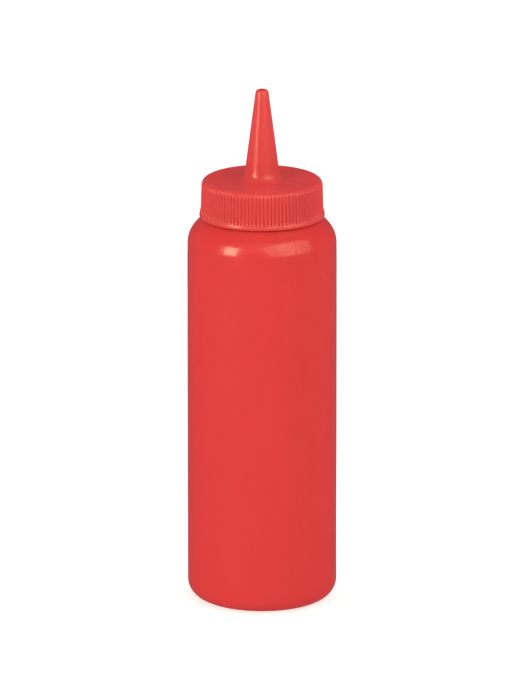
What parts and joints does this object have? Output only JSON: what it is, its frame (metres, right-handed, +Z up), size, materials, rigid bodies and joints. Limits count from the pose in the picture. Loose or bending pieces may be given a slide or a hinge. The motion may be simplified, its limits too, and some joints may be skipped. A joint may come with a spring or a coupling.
{
  "type": "squeeze bottle",
  "caption": "Round soft plastic squeeze bottle for sauce, with a ribbed screw cap whose tall cone nozzle has a small round outlet at its tip.",
  "frame": {"origin": "on the bottle's axis, in the plane of the foot ring that it stands on", "axes": "+Z up along the bottle's axis towards the nozzle's tip; +X to the right and -Y towards a viewer in front"},
  "size_m": [0.07, 0.07, 0.2453],
  "materials": {
    "bottle": "red low-density polyethylene, blow moulded, satin",
    "cap": "red low-density polyethylene, injection moulded, satin"
  },
  "bodies": {
    "root": {"bottle": "bottle", "cap": "cap"}
  },
  "joints": []
}
